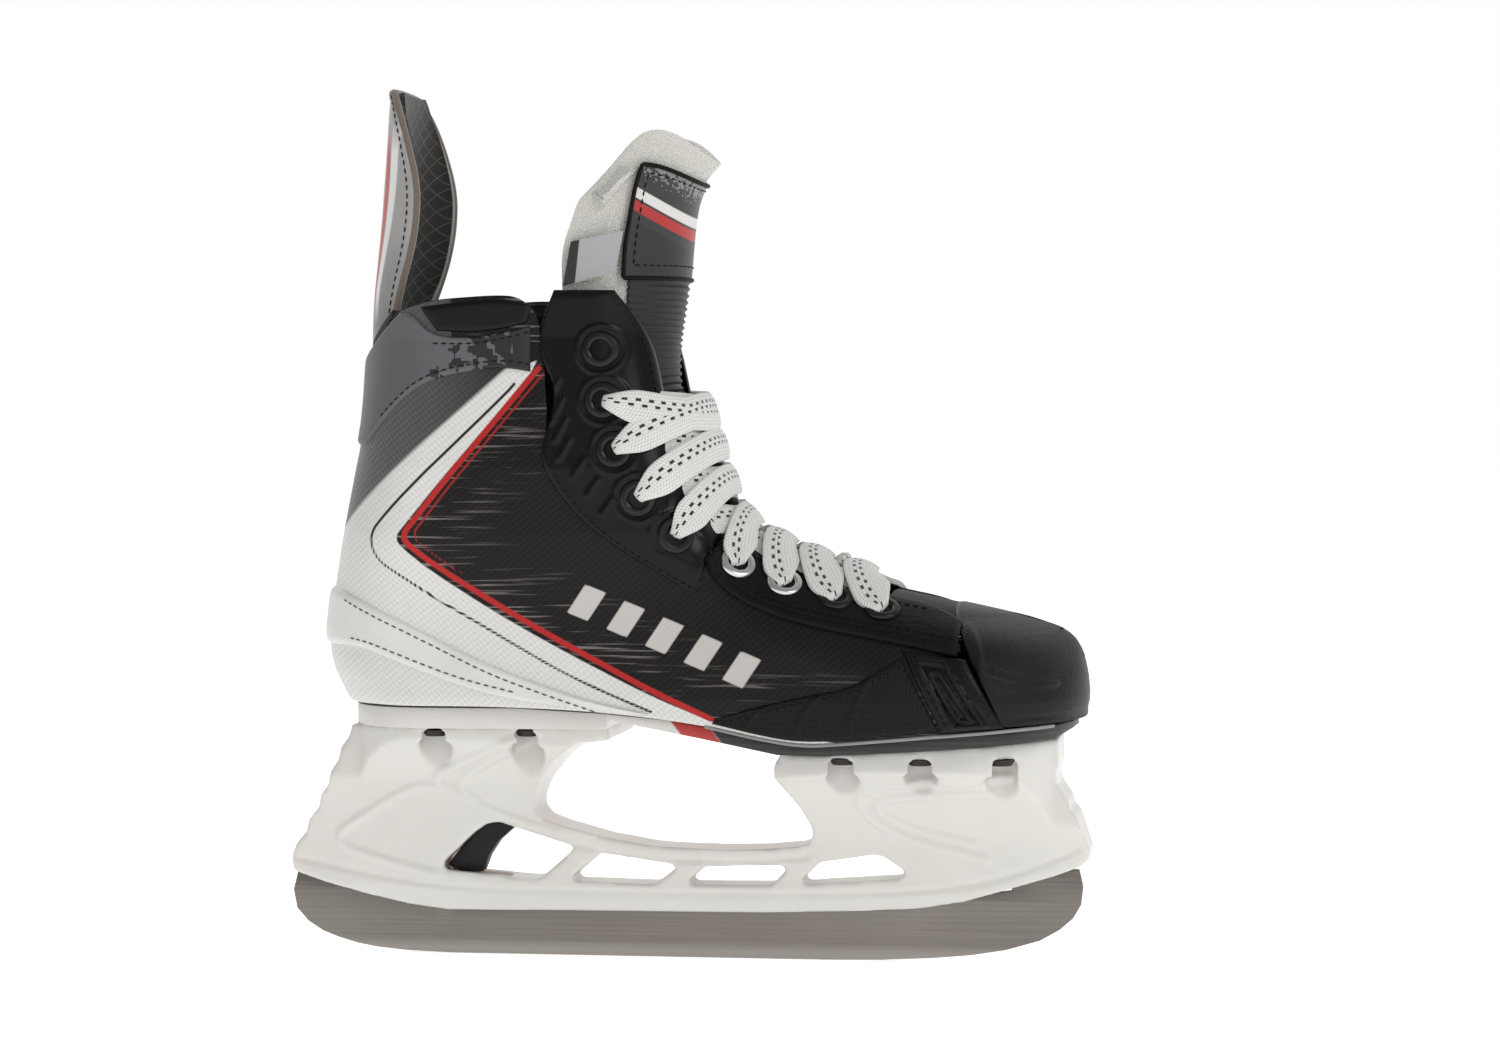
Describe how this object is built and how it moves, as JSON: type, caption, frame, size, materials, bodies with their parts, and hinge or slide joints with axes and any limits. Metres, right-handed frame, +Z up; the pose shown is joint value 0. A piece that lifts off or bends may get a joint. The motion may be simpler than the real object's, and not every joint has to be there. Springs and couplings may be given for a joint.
{
  "type": "ice hockey skate",
  "caption": "Lace-up ice hockey skate: stiff boot with felt tongue and flexible tendon guard on a moulded blade holder with a trigger-released steel runner.",
  "frame": {"origin": "on the flat bottom of the runner, centred under the skate", "axes": "+X towards the toe, +Y to the wearer's left, +Z up"},
  "size_m": [0.2553, 0.088, 0.2724],
  "materials": {
    "holder_white": "satin moulded",
    "steel": "ground steel",
    "trigger_black": "moulded",
    "pin_steel": "plain",
    "spring_steel": "plain",
    "rivet_steel": "dark",
    "sole_white": "white heel, dark forepart",
    "board": "pressed board",
    "footbed_foam": "covered foam",
    "quarter": "woven composite, printed",
    "vamp_leather": "matte synthetic leather",
    "lining": "padded knit",
    "heel_white": "sewn overlay",
    "yoke_grey": "matte overlay fading to black",
    "badge_black": "glossy recessed panel",
    "facing_gloss": "moulded ribs",
    "facing_leather": "matte, double stitched",
    "panel_black": "fine diamond texture",
    "ribs_black": "slanted ribs",
    "toe_plastic": "grained",
    "eyelet_black": "black lacquer",
    "eyelet_silver": "bright",
    "lace_white": "flat woven with dark tracer",
    "felt_white": "felt",
    "cap_print": "printed with plain diagonal bands",
    "panel_ribbed": "wavy ribs",
    "tag_satin": "satin ribbon",
    "guard_print": "light grey with plain stripes",
    "guard_mesh": "mesh"
  },
  "bodies": {
    "boot": {"holder": "holder_white", "trigger_pin": "pin_steel", "trigger_spring": "spring_steel", "rivets_rear": "rivet_steel", "rivets_front": "rivet_steel", "outsole": "sole_white", "insole_board": "board", "footbed": "footbed_foam", "quarter_right": "quarter", "quarter_left": "quarter", "vamp": "vamp_leather", "ankle_lining": "lining", "heel_overlay": "heel_white", "ankle_yoke": "yoke_grey", "collar_badge_right": "badge_black", "collar_badge_left": "badge_black", "upper_facing_right": "facing_gloss", "upper_facing_left": "facing_gloss", "lower_facing_right": "facing_leather", "lower_facing_left": "facing_leather", "side_panel_right": "panel_black", "side_panel_left": "panel_black", "side_ribs_right": "ribs_black", "side_ribs_left": "ribs_black", "toe_cap": "toe_plastic", "eyelets_black": "eyelet_black", "eyelets_silver": "eyelet_silver", "laces": "lace_white", "tongue_lower": "felt_white", "tongue_panel": "panel_ribbed"},
    "runner_body": {"runner": "steel"},
    "trigger_body": {"trigger": "trigger_black"},
    "tongue_top": {"tongue_upper": "felt_white", "tongue_cap": "cap_print", "size_tag": "tag_satin"},
    "guard": {"guard_shell": "guard_print", "guard_liner": "guard_mesh"}
  },
  "joints": [
    {"name": "runner_release", "type": "hinge", "parent": "boot", "child": "runner_body", "pos_m": [0.108, 0, 0.028], "axis": [0, -1, 0], "range_deg": [0, 7]},
    {"name": "trigger_pull", "type": "hinge", "parent": "boot", "child": "trigger_body", "pos_m": [-0.0605, 0, 0.048], "axis": [0, -1, 0], "range_deg": [0, 14], "stiffness_Nm_per_rad": 0.1, "springref_deg": -11.46},
    {"name": "tongue_flex", "type": "hinge", "parent": "boot", "child": "tongue_top", "pos_m": [0.0008, 0, 0.1993], "axis": [0, 1, 0], "range_deg": [0, 30], "stiffness_Nm_per_rad": 0.5},
    {"name": "guard_flex", "type": "hinge", "parent": "boot", "child": "guard", "pos_m": [-0.097, 0, 0.191], "axis": [0, 1, 0], "range_deg": [-22, 2], "stiffness_Nm_per_rad": 1}
  ]
}
